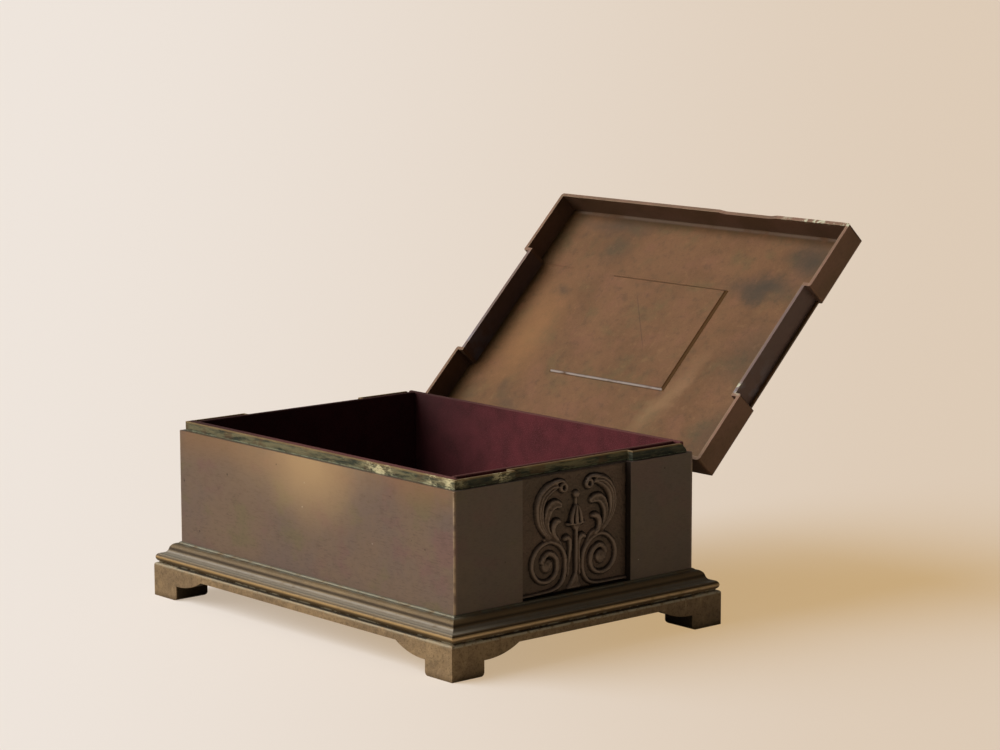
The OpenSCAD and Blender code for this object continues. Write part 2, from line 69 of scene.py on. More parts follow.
# Foot frame: four cast bracket feet with the rails between them, screwed up into the bottom
# plate. Sand-cast bronze with a golden brown patina, grey along its top and dark underneath.
class Wire:
    """A socket in a material's nodes. Sums and products of wires add Math nodes."""

    def __init__(self, socket):
        self.socket = socket

    def node(self, kind, values=None, out=0, **settings):
        """A new node in the same tree, given its settings and then the value or wire of each
        input. Returns the wire of the output that out names, or the node if it has none."""
        tree = self.socket.id_data
        made = tree.nodes.new(kind)
        for key, value in settings.items():
            setattr(made, key, value)
        for key, value in (values or {}).items():
            if isinstance(value, Wire):
                tree.links.new(value.socket, made.inputs[key])
            else:
                made.inputs[key].default_value = value
        return Wire(made.outputs[out]) if made.outputs else made

    def maths(self, operation, *others):
        """This value and the others through one Math node, for what has no operator."""
        return self.node("ShaderNodeMath", dict(enumerate((self, *others))), operation=operation)

    def __add__(self, other):
        return self.maths("ADD", other)

    def __sub__(self, other):
        return self.maths("SUBTRACT", other)

    def __rsub__(self, other):
        return self.node("ShaderNodeMath", {0: other, 1: self}, operation="SUBTRACT")

    def __mul__(self, other):
        return self.maths("MULTIPLY", other)

    def __truediv__(self, other):
        return self.maths("DIVIDE", other)

    def __pow__(self, other):
        return self.maths("POWER", other)

    def __abs__(self):
        return self.maths("ABSOLUTE")

    __radd__, __rmul__ = __add__, __mul__

    def between(self, low, high):
        """0 below low and 1 above high, with a smooth rise, or the reverse when low is larger."""
        if low > high:
            return 1 - self.between(high, low)
        return self.node("ShaderNodeMapRange", {"Value": self, "From Min": low, "From Max": high},
                         interpolation_type="SMOOTHSTEP")

    def near(self, place, width):
        """1 at place, falling smoothly to 0 at width from it."""
        return abs(self - place).between(width, 0)

    def noise(self, size, detail=3.0, roughness=0.55):
        """Cloudy noise whose patches are about size across, in the wire's own unit."""
        return self.node("ShaderNodeTexNoise", {"Vector": self, "Scale": 1 / size, "Detail": detail,
                                                "Roughness": roughness})

    def spots(self, size):
        """Distance to the nearest of many scattered points, in shares of size."""
        return self.node("ShaderNodeTexVoronoi", {"Vector": self, "Scale": 1 / size})

    def axes(self):
        """The three components of a vector, as wires of their own."""
        return [self.node("ShaderNodeSeparateXYZ", {0: self}, out=i) for i in range(3)]

    def stretched(self, *factors):
        """The same coordinates with each axis divided, so that patterns grow by those factors."""
        shares = tuple(1 / factor for factor in factors)
        return self.node("ShaderNodeVectorMath", {0: self, 1: shares}, operation="MULTIPLY")

    def mixed(self, without, with_it):
        """The colour without at 0 and the colour with_it at 1."""
        return self.node("ShaderNodeMix", {0: self, 6: without, 7: with_it}, out=2, data_type="RGBA")

    def shifted(self, *offset):
        """The same coordinates moved by an offset, for a second pattern unlike the first."""
        return self.node("ShaderNodeVectorMath", {0: self, 1: offset}, operation="ADD")

    def tinted(self, mask, code, share=1.0):
        """This colour, changed towards a written one where the mask is 1, by that share."""
        return (mask * share).mixed(self, colour(code))


def colour(code):
    """A written sRGB colour as the linear values that shaders take."""
    share = np.array([int(code[i:i + 2], 16) for i in (1, 3, 5)]) / 255
    linear = np.where(share <= 0.04045, share / 12.92, ((share + 0.055) / 1.055) ** 2.4)
    return (*linear, 1.0)


def start(name):
    """A new material, and the wire of its piece's own coordinates in millimetres."""
    material = bpy.data.materials.new(name)
    material.use_nodes = True
    material.node_tree.nodes.clear()
    place = Wire(material.node_tree.nodes.new("ShaderNodeTexCoord").outputs["Object"])
    return material, place.node("ShaderNodeVectorMath", {0: place, "Scale": 1000.0}, operation="SCALE")


def finish(shade, roughness, height, depth, metallic=0.5, **constant):
    """Ends a material, whose shader takes the colour wire shade. The wire height is its bumps and
    depth their size in mm. Other constants are named as the shader's sockets are."""
    bump = height.node("ShaderNodeBump", {"Strength": 1.0, "Distance": depth / 1000, "Height": height})
    values = {"Base Color": shade, "Roughness": roughness, "Metallic": metallic, "Normal": bump,
              "Specular IOR Level": 0.2}
    values.update({key.replace("_", " "): value for key, value in constant.items()})
    surface = shade.node("ShaderNodeBsdfPrincipled", values)
    surface.node("ShaderNodeOutputMaterial", {"Surface": surface})


def blot(across, up, place, size):
    """1 in the middle of an ellipse, falling softly to 0 at its edge. Its place and its half
    axes, size, are (across, up) in mm."""
    far = (((across - place[0]) / size[0]) ** 2 + ((up - place[1]) / size[1]) ** 2) ** 0.5
    return far.between(1, 0)


def dress(material, *names):
    """Gives CAD nodes their finish, and rounds their sharp edges off."""
    edge_radius = 0.3
    for name in names:
        part = parts[name]
        part.data.materials.clear()
        part.data.materials.append(material)
        part.modifiers.new("joined", "WELD").merge_threshold = 1e-6
        worn = part.modifiers.new("worn_edges", "BEVEL")
        worn.width = edge_radius / 1000
        worn.segments = 2
        worn.limit_method = "ANGLE"
        worn.angle_limit = math.radians(35)
        worn.harden_normals = True


def on_short_sides(x, y):
    """1 on the left and right of the foot frame and the moulding, and 0 beyond their mitres,
    which run at 45 degrees where abs(x) is 42 mm more than abs(y)."""
    mitre = 42.0
    return (abs(x) - abs(y)).between(mitre - 0.1, mitre + 0.1)


base_bronze, place = start("base_bronze")
x, y, z = place.axes()
cloud = place.noise(30, 5, 0.6)
grain = place.noise(1.3, 4, 0.75)
lumps = place.noise(4.5, 5, 0.65)
shade = cloud.between(0.35, 0.65).mixed(colour("#7b6850"), colour("#8a7558"))
shade = shade.tinted(lumps.between(0.48, 0.68), "#5a4c39", 0.55)
shade = shade.tinted(lumps.between(0.45, 0.3), "#a08a6b", 0.45)
shade = shade.tinted(grain.between(0.52, 0.66), "#352b1e", 0.5)
shade = shade.tinted(z.between(19.6, 21.6) * lumps.between(0.3, 0.55), "#8c8470", 0.75)
shade = shade.tinted(z.between(4, 0), "#443522", 0.6)

# A pale line along the top of the short sides, and painted shade on the faces of feet and rails that
# look in under the chest
top_line = on_short_sides(x, y) * z.between(20.0, 21.0) * lumps.between(0.4, 0.5)
shade = shade.tinted(top_line, "#b5ab94", 0.7)
painted_shade_long = abs(x).between(128.6, 128.2) * abs(y).between(110.6, 110.2)
painted_shade_short = abs(y).between(86.6, 86.2) * abs(x).between(152.6, 152.2)
shade = shade.tinted(painted_shade_long.maths("MAXIMUM", painted_shade_short), "#1e1812", 0.85)
finish(shade, 0.42 + 0.3 * grain, grain * 0.7 + lumps, 0.4, metallic=0.4)
dress(base_bronze, "foot_front_left", "foot_front_right", "foot_back_left", "foot_back_right",
      "rail_front", "rail_back", "rail_left", "rail_right")


# Bottom plate: sheet bronze lying on the foot frame between the walls, dark and unpolished.
# Round-headed steel screws come up through the feet and the long rails into it.
plate_bronze, place = start("plate_bronze")
cloud = place.noise(30, 5)
shade = cloud.between(0.35, 0.7).mixed(colour("#4a3c2f"), colour("#66523c"))
finish(shade, 0.5 + 0.2 * cloud, place.noise(2.2, 4), 0.08)
dress(plate_bronze, "bottom_plate")

steel, place = start("steel")
cloud = place.noise(3, 4)
shade = cloud.between(0.35, 0.7).mixed(colour("#77736a"), colour("#5d4b3c"))
finish(shade, 0.35 + 0.3 * cloud, place.noise(0.8, 3), 0.03, metallic=0.9)
dress(steel, "foot_screws", "rail_screws", "hinge_pin", "box_leaf_screws", "lid_leaf_screws")


# Base moulding: cast lengths with a ledge, an ogee and a bead, mitred and soldered round the
# box. The bead is rubbed golden and painted with a highlight, verdigris greys the ledge, and pale crust
# sits under the bead.
moulding_bronze, place = start("moulding_bronze")
x, y, z = place.axes()
cloud = place.noise(40, 4, 0.6)
grain = place.noise(1.1, 3, 0.65)
patch = place.noise(8, 5, 0.65)
on_side = on_short_sides(x, y)
shade = cloud.between(0.35, 0.65).mixed(colour("#4d3f2a"), colour("#5a4a31"))
shade = shade.tinted(patch.between(0.5, 0.7), "#4a4030", 0.45)
shade = shade.tinted(grain.between(0.5, 0.7), "#483823", 0.35)
# Painted light: the short sides are made lighter than the front
shade = shade.tinted(on_side, "#8a7458", 0.4)

# Bands by height: painted shade under the ledge, then down the ogee to the quirk and the bead, then the
# ledge and the underside
shade = shade.tinted(z.near(31.5, 1.6), "#2b2116", 0.85)
# A painted reflection in the ogee's hollow, and painted light at its foot
shade = shade.tinted(z.near(29.4, 1.4) * patch.between(0.15, 0.5), "#76726a", 0.6)
shade = shade.tinted(z.near(28.2, 0.8), "#918b7e", 0.75)
# Painted shade in the quirk, and a painted highlight on the bead, which is rubbed golden too
shade = shade.tinted(z.near(27.0, 0.55), "#2b2116", 0.8)
shade = shade.tinted(z.near(25.8, 1.2) * patch.between(0.2, 0.45), "#a4895f", 0.85)
shade = shade.tinted(on_side * z.near(25.4, 1.2) * patch.between(0.3, 0.5), "#c0a684", 0.6)
shade = shade.tinted(z.between(34.3, 35.0) * patch.between(0.3, 0.55), "#67695d", 0.65)
shade = shade.tinted(z.between(22.9, 22.1), "#332a20", 0.8)
crust = z.near(22.7, 1.1) * patch.between(0.46, 0.58)
shade = shade.tinted(crust, "#a39c88", 0.75)
finish(shade, 0.34 + 0.2 * grain, grain * 0.4 + patch + crust, 0.12)
dress(moulding_bronze, "moulding_front", "moulding_back", "moulding_left", "moulding_right")


# Wall panels: cast bronze, mitred at the corners, with a purplish brown patina and a golden
# patch, a painted reflection, near the front's upper edge. The upright corners are worn to a light
# line.
wall_bronze, place = start("wall_bronze")
x, y, z = place.axes()
cloud = place.noise(60, 4, 0.6)
tint = place.stretched(1.4, 1.4, 1).noise(27, 5, 0.6)
mottle = place.noise(6, 5, 0.65)
grain = place.stretched(5, 5, 1).noise(0.8, 3, 0.7)
shade = cloud.between(0.35, 0.65).mixed(colour("#685a54"), colour("#705f52"))
shade = shade.tinted(tint.between(0.52, 0.68), "#6f5553", 0.65)
shade = shade.tinted(tint.between(0.46, 0.32), "#69614a", 0.65)
shade = shade.tinted(mottle.between(0.5, 0.7), "#483a31", 0.16)
shade = shade.tinted(mottle.between(0.46, 0.3), "#7a6653", 0.16)
shade = shade.tinted(grain.between(0.48, 0.72), "#493c34", 0.35)

# Painted shade: the short walls are darker, and darkest on the upright sides of their recesses
shade = shade.tinted(abs(y).between(97.5, 95), "#423e36", 0.55)
step = abs(x).between(134, 135) * abs(x).between(139.9, 139.6) * abs(y).between(44.8, 44.6)
shade = shade.tinted(step, "#120d0a", 0.75)

# A warm band and the golden patch, which is a painted reflection, then the worn corners, pale specks
# and dark pits
front = y.between(-96.5, -97.5)
shade = shade.tinted(front * z.between(88, 112) * cloud.between(0.25, 0.6), "#84654b", 0.6)
bent_x = x + place.noise(24, 4) * 24 - 12
glow = blot(bent_x, z, (-10, 118), (112, 60)) * 0.5 + blot(bent_x, z, (2, 108), (58, 54)) * 0.48
shade = shade.tinted(front * glow.maths("MINIMUM", 1), "#a88e6c")
corner_line = (abs(x) + abs(y)).between(236.8, 237.1) * place.noise(7, 5).between(0.35, 0.6)
shade = shade.tinted(corner_line, "#a08c72", 0.7)
speck = place.spots(11).between(0.05, 0.03) * place.noise(26).between(0.52, 0.58)
shade = shade.tinted(speck, "#c9bfae", 0.6)
pit = place.shifted(31, 17, 5).spots(17).between(0.06, 0.035)
shade = shade.tinted(pit, "#2c241e", 0.6)
bumps = grain * 0.25 + place.noise(16, 2) * 2 - pit * 0.8
finish(shade, 0.38 + 0.16 * grain, bumps, 0.05, metallic=0.45)
dress(wall_bronze, "wall_front", "wall_back", "wall_left", "wall_right")


# Relief plaques: one cast plate in each side recess, with a pair of scrolls, curling leaves and
# a flower bell on a stem, of traditional pattern. Dirt and painted shade darken the hollows of the
# relief, and a painted highlight lightens its raised forms.
def beside(path, a, u):
    """Distance of each point (a, u) from a smooth curve through the first two columns of path,
    which side of it the point is on, and the other columns of path where the curve passes
    nearest. The curve is a Catmull-Rom spline in eight steps from row to row."""
    path = np.array(path, float)
    ends = np.vstack([2 * path[0] - path[1], path, 2 * path[-1] - path[-2]])[:, None]
    before, here, onward, after = ends[:-3], ends[1:-2], ends[2:-1], ends[3:]
    t = np.linspace(0, 1, 9)[:-1, None]
    cubic = 3 * (here - onward) + after - before
    square = 2 * before - 5 * here + 4 * onward - after + t * cubic
    curve = here + 0.5 * t * (onward - before + t * square)
    curve = np.vstack([curve.reshape(-1, path.shape[1]), path[-1]])
    step = np.diff(curve, axis=0)
    da, du = a[:, None] - curve[:-1, 0], u[:, None] - curve[:-1, 1]
    along = da * step[:, 0] + du * step[:, 1]
    share = np.clip(along / (step[:, :2] ** 2).sum(axis=1), 0, 1)
    gap_a, gap_u = da - share * step[:, 0], du - share * step[:, 1]
    gap = np.hypot(gap_a, gap_u)
    nearest = gap.argmin(axis=1)
    row = np.arange(len(a))
    side = np.sign(step[nearest, 0] * gap_u[row, nearest] - step[nearest, 1] * gap_a[row, nearest])
    values = curve[nearest, 2:] + share[row, nearest, None] * step[nearest, 2:]
    return gap[row, nearest], side, values


def rib(n):
    """A round-topped ridge: the root of 1 less n to the fourth, and 0 beyond n = 1 and -1."""
    return np.clip(1 - n ** 4, 0, 1) ** 0.5


def fluted(n):
    """A leaf: a rib that rises evenly towards n = -1, times 1 + 0.13 cos(11 n) for its flutes."""
    return rib(n) * (0.85 - 0.12 * n) * (1 + 0.13 * np.cos(11 * n))


def cupped(n):
    """A leaf lobe: a rib times 0.72 + 0.4 n squared, so that a lip stands up at both edges, and a
    little higher towards n = -1."""
    return rib(n) * (0.72 + 0.4 * n ** 2 - 0.1 * n)


def raise_form(relief, across, up, path, section):
    """The relief with a form added where that stands higher. The rows of path are across, up,
    half width and height, and section is the form's height across its half width."""
    a, u = across.ravel(), up.ravel()
    rows = np.array(path, float)
    reach = rows[:, 2].max() + 1.5
    close = (a > rows[:, 0].min() - reach) & (a < rows[:, 0].max() + reach)
    close &= (u > rows[:, 1].min() - reach) & (u < rows[:, 1].max() + reach)
    gap, side, values = beside(path, a[close], u[close])
    half, height = values.T
    flat = relief.ravel()
    flat[close] = np.maximum(flat[close], height * section(side * gap / half) * (gap < half))
    return flat.reshape(relief.shape)


def spread(field, passes):
    """Evens a field out: at every pass a point keeps a half of itself and takes an eighth of
    each of its four neighbours."""
    for _ in range(passes):
        wide = np.pad(field, 1, mode="edge")
        around = wide[2:, 1:-1] + wide[:-2, 1:-1] + wide[1:-1, 2:] + wide[1:-1, :-2]
        field = 0.5 * field + 0.125 * around
    return field


# The plate's grid in mm. The pattern is given by its distance from the middle line and its
# height over the moulding, both bent a little by slow waves, as in hand-carved work.
ground = 135.8
spacing = 0.28
moulding_height = 13.5
low, high = (np.array(corner) * 1000 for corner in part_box("plaque_right"))
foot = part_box("wall_right")[0][2] * 1000 + moulding_height
across = np.linspace(low[1], high[1], int((high[1] - low[1]) / spacing) + 1)
up_plate = np.linspace(low[2], high[2], int((high[2] - low[2]) / spacing) + 1)
across, up_plate = np.meshgrid(across, up_plate)
wave = 0.25 * np.sin(across / 9 + up_plate / 7)
a = np.abs(across) + wave
u = up_plate - foot + 0.2 * np.sin(across / 8 + 1)

# The scroll lies in a shallow round sinking. Its ridge is at a radius that shrinks with each
# quarter turn, from the stem over the top to a button in the middle, and it sweeps out at the foot
scroll = (21.3, 18.6)
radius = (14.2, 14.7, 12.9, 9.6, 7.6, 7.5, 3.5, 3.5)
last_turn = 5.8
turn = np.mod(np.arctan2(u - scroll[1], -(a - scroll[0])), 2 * np.pi) / (np.pi / 2)
out = np.hypot(a - scroll[0], u - scroll[1])
relief = -0.25 * rib(np.clip(out / 14, 0, 1))
for winding in (turn, turn + 4):
    ridge = np.interp(winding, np.arange(8), radius)
    half = np.interp(winding, (0, 3, 4, last_turn), (1.35, 1.4, 1.6, 2))
    relief = np.maximum(relief, 1.9 * rib((out - ridge) / half) * (winding < last_turn))
button = np.hypot(a - 22, u - 18.8) / 4.4
relief = np.maximum(relief, 2.5 * np.clip(1 - button ** 2, 0, 1) ** 0.35)
sweep = [(7.1, 21, 1.35, 1.9), (7.1, 15, 1.35, 1.9), (7.9, 10.8, 1.35, 2), (9.7, 7.2, 1.3, 2),
         (12.9, 4.5, 1.2, 1.9), (17.5, 3, 1, 1.7), (24, 2.4, 0.9, 1.5), (44, 2.3, 0.85, 1.4)]
relief = raise_form(relief, a, u, sweep, rib)

# A band over the scroll and a curl beside the stem. The leaves spring from the scroll's top and
# curl in over it. They, the bell and the top of the stem stand a little off the middle line
off_middle = 1.6
leaf_a = np.abs(across - off_middle) + wave
band = [(9.6, 28.2, 0.9, 1.8), (12.2, 31.4, 1.6, 1.9), (15.6, 34, 2.2, 1.9), (20.2, 35.3, 2, 1.9),
        (24, 35, 1, 1.6)]
curl = [(5, 11, 0.8, 1.3), (4.6, 18, 1.1, 1.4), (3.8, 24, 1.2, 1.7), (3.4, 29, 1.3, 2.1),
        (4.1, 32.6, 1.5, 2.5), (5.9, 34.6, 1.6, 2.8), (7.6, 33.8, 1.5, 2.8)]
outer = [(14.3, 66.2, 0.8, 2), (17.2, 67, 2.6, 2.9), (21.6, 66, 3.8, 3.1), (26.2, 62.6, 3.9, 3.1),
         (28.8, 58.6, 3.8, 3.1), (29.9, 54.5, 3.6, 3.1), (30, 49.8, 3.3, 3), (29.2, 45.5, 2.9, 2.8),
         (27.6, 42, 2.4, 2.6), (25.2, 38.8, 1.9, 2.4), (22.2, 36.2, 1.5, 2.2)]
lobe = [(13.4, 55.2, 2.1, 2.7), (16, 56, 2.9, 3), (19.2, 55.6, 3.1, 3), (22, 53.2, 2.9, 3),
        (23.7, 50, 2.6, 3), (24.5, 46.5, 2.2, 2.9), (24.3, 43, 1.9, 2.7), (23.3, 40, 1.7, 2.5),
        (21.4, 37, 1.5, 2.3)]
small = [(13.9, 45.2, 1.5, 2.5), (15.9, 45.3, 2, 2.8), (17.9, 43.9, 2, 2.8), (19.1, 41.4, 1.8, 2.7),
         (19.1, 38.8, 1.7, 2.6), (18, 36.4, 1.6, 2.4), (15.6, 34.2, 1.4, 2.3)]
tip = [(19.5, 68.4, 1.8, 2.4), (16, 69.6, 1.3, 2.6), (12.6, 70, 1, 2.5), (9.6, 68.9, 0.8, 2.2)]
for path, section in ((band, cupped), (curl, rib)):
    relief = raise_form(relief, a, u, path, section)
for path, section in ((outer, fluted), (lobe, cupped), (small, rib), (tip, rib)):
    relief = raise_form(relief, leaf_a, u, path, section)
eye_out = np.hypot(leaf_a - 10.6, u - 65.8)
relief = np.maximum(relief, 2.5 * rib((eye_out - 2.3) / 1.05))
relief = np.maximum(relief, 0.8 * (eye_out < 1.6))

# The stem flares at its foot and leans to the bell's line. The ribbed bell hangs over a bar,
# with a bead on a neck at its point
stem_a = np.abs(across - off_middle * np.clip(u / 14, 0, 1))
stem_half = 0.95 + 5 * np.clip((12 - u) / 9, 0, 1) ** 1.3
stem_height = np.interp(u, (3, 9, 14), (1.6, 2, 2.4))
relief = np.maximum(relief, (u < 41) * stem_height * rib(stem_a / stem_half) * (u > 2))
bell_half = np.interp(u, (43, 45, 48, 50, 52, 54), (5.2, 5, 4.4, 3.6, 2.5, 1))
in_bell = (u > 42.6) & (u < 54) & (stem_a < bell_half)
bell_a = stem_a / bell_half
ribs = 0.7 + 2.2 * np.maximum(rib(bell_a / 0.3), rib((bell_a - 0.76) / 0.25))
relief = np.maximum(relief, in_bell * ribs)
bar = [(-7, 42.5, 0.85, 2.9), (0, 42.2, 0.85, 2.9), (6.8, 42.6, 0.8, 2.7)]
relief = raise_form(relief, across - off_middle, u, bar, rib)
throat = rib(stem_a / (1.1 + 0.8 * np.clip(u - 38, 0, 4)))
relief = np.maximum(relief, ((u > 38) & (u < 42)) * 2.2 * throat)
relief = np.maximum(relief, ((u > 54) & (u < 59)) * 1.7 * rib(stem_a / 0.75))
relief = np.maximum(relief, 2.9 * rib(np.hypot(stem_a, u - 60.6) / 2.3))

# Casting softens the forms, a groove is chased round them, and the surface is a little uneven.
# hollow says how far a point lies below what is near it, less a share of its own height
relief = spread(relief, 3)
relief -= 0.5 * np.clip(spread(relief, 20) - relief, 0, 2)
rough = np.random.default_rng(7).normal(size=relief.shape)
relief = spread(relief, 1) + 0.22 * spread(rough, 6) + 0.7 * spread(rough[::-1], 60)
hollow = 0.8 * (spread(relief, 16) - relief) + 0.6 * (spread(relief, 80) - relief) - 0.12 * relief
fall_across = np.minimum(across - low[1], high[1] - across)
fall_up = np.minimum(up_plate - low[2], high[2] - up_plate)
edge_fall = np.clip(1 - np.minimum(fall_across, fall_up) / 0.5, 0, 1)
surface = ground + relief - 0.5 * edge_fall ** 2

plaque_bronze, place = start("plaque_bronze")
dirt_and_painted_light = place.node("ShaderNodeAttribute", out=2, attribute_name="hollow")
cloud = place.noise(20, 3)
grain = place.stretched(1, 4, 1).noise(0.7, 3, 0.7)
shade = cloud.between(0.35, 0.65).mixed(colour("#4b4036"), colour("#54453b"))
shade = shade.tinted(grain.between(0.5, 0.75), "#382b23", 0.4)
# Dirt and painted shade in the hollows, and a painted highlight on the raised forms
shade = shade.tinted(dirt_and_painted_light.between(0.05, 0.8), "#120c08", 0.95)
shade = shade.tinted(dirt_and_painted_light.between(-0.1, -0.8), "#7c6d62", 0.75)
finish(shade, 0.38 + 0.2 * grain, grain, 0.03, metallic=0.45)

# The relief's grid, four sides back to the recess's floor and one flat face there. The left
# plaque is the right one mirrored, so its faces are turned round
rows, columns = surface.shape
index = np.arange(rows * columns).reshape(rows, columns)
faces = np.stack([index[:-1, :-1], index[:-1, 1:], index[1:, 1:], index[1:, :-1]], axis=-1)
border = np.concatenate([index[0, :-1], index[:-1, -1], index[-1, :0:-1], index[:0:-1, 0]])
behind = rows * columns + np.arange(len(border))
sides = np.stack([border, behind, np.roll(behind, -1), np.roll(border, -1)], axis=-1)
faces = np.vstack([faces.reshape(-1, 4), sides])
points = np.stack([surface, across, up_plate], axis=-1).reshape(-1, 3)
points = np.vstack([points, np.column_stack([np.full(len(border), low[0]), points[border, 1:]])])
for side_name, outward in (("right", 1), ("left", -1)):
    mesh = bpy.data.meshes.new("relief_plaque_" + side_name)
    polygons = faces[:, ::outward].tolist() + [behind[::-outward].tolist()]
    mesh.from_pydata((points * (outward, 1, 1) / 1000).tolist(), [], polygons)
    depths = np.concatenate([hollow.ravel(), np.zeros(len(border))])
    mesh.attributes.new("hollow", "FLOAT", "POINT").data.foreach_set("value", depths)
    mesh.shade_smooth()
    mesh.set_sharp_from_angle(angle=math.radians(60))
    mesh.materials.append(plaque_bronze)
    plaque = bpy.data.objects.new("relief_plaque_" + side_name, mesh)
    bpy.context.scene.collection.objects.link(plaque)
    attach(plaque, "chest")
    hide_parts("plaque_" + side_name)


# Rebate tongue: bronze strips soldered inside the walls, standing above them for the lid to
# close over. Verdigris and pale crust have grown along them, thickest by the front right corner.
tongue_bronze, place = start("tongue_bronze")
x, y, z = place.axes()
cloud = place.stretched(7, 7, 1).noise(2.6, 5, 0.65)
crust = place.stretched(3, 3, 1).noise(2.2, 6, 0.75)
patch = place.noise(16, 3)
shade = cloud.between(0.36, 0.6).mixed(colour("#2c3229"), colour("#6a654c"))
shade = shade.tinted(patch.between(0.5, 0.65), "#55402c", 0.6)
shade = shade.tinted(crust.between(0.55, 0.7), "#83835f", 0.55)

# The right strip is the darkest. The top edge is rubbed, and crust lies by the walls and corner
shade = shade.tinted(x.between(133, 134) * y.between(-88, -80), "#252d2b", 0.55)
shade = shade.tinted(z.between(115.3, 116.2), "#8a6f4a", 0.6)
shade = shade.tinted(z.near(111.0, 0.6) * crust.between(0.4, 0.55), "#8f9880", 0.6)
along_front = x.near(66, 20) + x.near(118, 12) + x.near(132, 8)
by_corner = along_front * y.between(-80, -92) + y.near(-58, 12) * x.between(120, 130)
shade = shade.tinted(by_corner * crust.between(0.47, 0.58), "#c9c19a", 0.9)
finish(shade, 0.6 + 0.2 * crust, crust * 1.5 + cloud, 0.5, metallic=0.2)
dress(tongue_bronze, "tongue_front", "tongue_left", "tongue_right")


# Lining: card boards covered in maroon cloth, the floor laid first and the four sides stood on
# it. The cloth is turned over each board's edges and glued behind, so the edges are soft.
def board_surface(low, high, thin, soft):
    """A closed board between two corners: a rounded rectangle carried along the board's length,
    drawn in over its last soft mm and closed at each end. thin is the axis of its thickness
    and soft the radius of its edges. The wide faces are drawn in by the size of a slow ripple,
    0.12 sin(a / 17 + w / 23) sin(a / 31 - w / 11 + 1.3), all in mm."""
    low, high = np.array(low), np.array(high)
    middle, half = (low + high) / 2, (high - low) / 2
    long, wide = [a for a in np.argsort(-half) if a != thin]
    stations, across_count = 120, 50
    quarter = np.linspace(0, np.pi / 2, 7)
    run_long = np.linspace(-half[long] + soft, half[long] - soft, stations)[1:-1]
    along = np.concatenate([-half[long] + soft * (1 - np.cos(quarter)), run_long,
                            half[long] - soft * (1 - np.cos(quarter[::-1]))])
    inset = np.concatenate([soft * (1 - np.sin(quarter)), np.zeros(stations - 2),
                            soft * (1 - np.sin(quarter[::-1]))])
    corner = half[wide] - soft
    run = np.linspace(-corner, corner, across_count)
    sin, cos = soft * np.sin(quarter[:-1]), soft * np.cos(quarter[:-1])
    width = np.concatenate([run[:-1], corner + sin, corner + cos,
                            run[::-1][:-1], -corner - sin, -corner - cos])
    top = half[thin]
    flat = np.full(across_count - 1, top)
    depth = np.concatenate([flat, top - soft + cos, -top + soft - sin,
                            -flat, -top + soft - cos, top - soft + sin])
    w = width[None, :] * (1 - inset[:, None] / half[wide])
    d = depth[None, :] * np.maximum(1 - inset[:, None] / top, 0.0)
    a = along[:, None] + 0 * w
    ripple = 0.12 * np.sin(a / 17 + w / 23) * np.sin(a / 31 - w / 11 + 1.3)
    on_face = (np.abs(depth) > top - 0.01)[None, :] * (inset == 0)[:, None]
    d = d - np.abs(ripple) * np.sign(d) * on_face
    grid = np.empty((*w.shape, 3))
    grid[..., long], grid[..., wide], grid[..., thin] = a, w, d
    return grid + middle


def closed_tube(name, grid):
    """A mesh from rings of points in mm, joined ring to ring, with a flat cap on the first and last."""
    rings, count = grid.shape[:2]
    index = np.arange(rings * count).reshape(rings, count)
    following = np.roll(index, -1, axis=1)
    faces = np.stack([index[:-1], following[:-1], following[1:], index[1:]], axis=-1)
    faces = faces.reshape(-1, 4).tolist() + [index[0, ::-1].tolist(), index[-1].tolist()]
    mesh = bpy.data.meshes.new(name)
    mesh.from_pydata((grid.reshape(-1, 3) / 1000).tolist(), [], faces)
    mesh.validate()
    piece = bpy.data.objects.new(name, mesh)
    bpy.context.scene.collection.objects.link(piece)
    return piece


def face_outwards(piece):
    """Recalculates which way the faces of a closed mesh point, and shades it smooth."""
    work = bmesh.new()
    work.from_mesh(piece.data)
    bmesh.ops.recalc_face_normals(work, faces=work.faces)
    work.to_mesh(piece.data)
    work.free()
    piece.data.shade_smooth()


lining_cloth, place = start("lining_cloth")
x, y, z = place.axes()
cloud = place.noise(18, 4)
thread = 0.55
per_thread = 2 * math.pi / thread
weave = ((x + y) * per_thread).maths("SINE") * (z * per_thread).maths("SINE")
fuzz = place.noise(0.7, 3, 0.7)
shade = cloud.between(0.3, 0.7).mixed(colour("#441a1c"), colour("#5b2429"))
shade = fuzz.between(0.45, 0.75).mixed(shade, colour("#733740"))
# Painted sheen: the boards' top edges are paler
shade = z.between(115.8, 117).mixed(shade, colour("#56332f"))
# Painted shade: the cloth is darker towards the left
shade = shade.tinted(x.between(-10, -130), "#170809", 0.7)
finish(shade, 0.85, weave * 0.4 + fuzz, 0.12, metallic=0.0,
       Sheen_Weight=0.1, Sheen_Tint=colour("#8f3a46"))

edge_radius = 1.0
for side_name, thin in (("floor", 2), ("front", 1), ("back", 1), ("left", 0), ("right", 0)):
    name = "lining_" + side_name
    low, high = (np.array(corner) * 1000 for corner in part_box(name))
    cover = closed_tube("covered_board_" + side_name, board_surface(low, high, thin, edge_radius))
    face_outwards(cover)
    cover.data.materials.append(lining_cloth)
    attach(cover, "chest")
    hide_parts(name)


# Hinge: two cast brass leaves with seven knuckles in all on a steel pin, one leaf let into the
# back wall and one screwed to the lid's rim. Heels on the lid's knuckles stop the open lid.
hinge_brass, place = start("hinge_brass")
cloud = place.noise(8, 4)
shade = cloud.between(0.35, 0.7).mixed(colour("#8a6d3f"), colour("#66502f"))
finish(shade, 0.36 + 0.25 * cloud, place.noise(1.2, 3), 0.04, metallic=0.75)
dress(hinge_brass, "hinge_box_leaf", "hinge_lid_leaf")


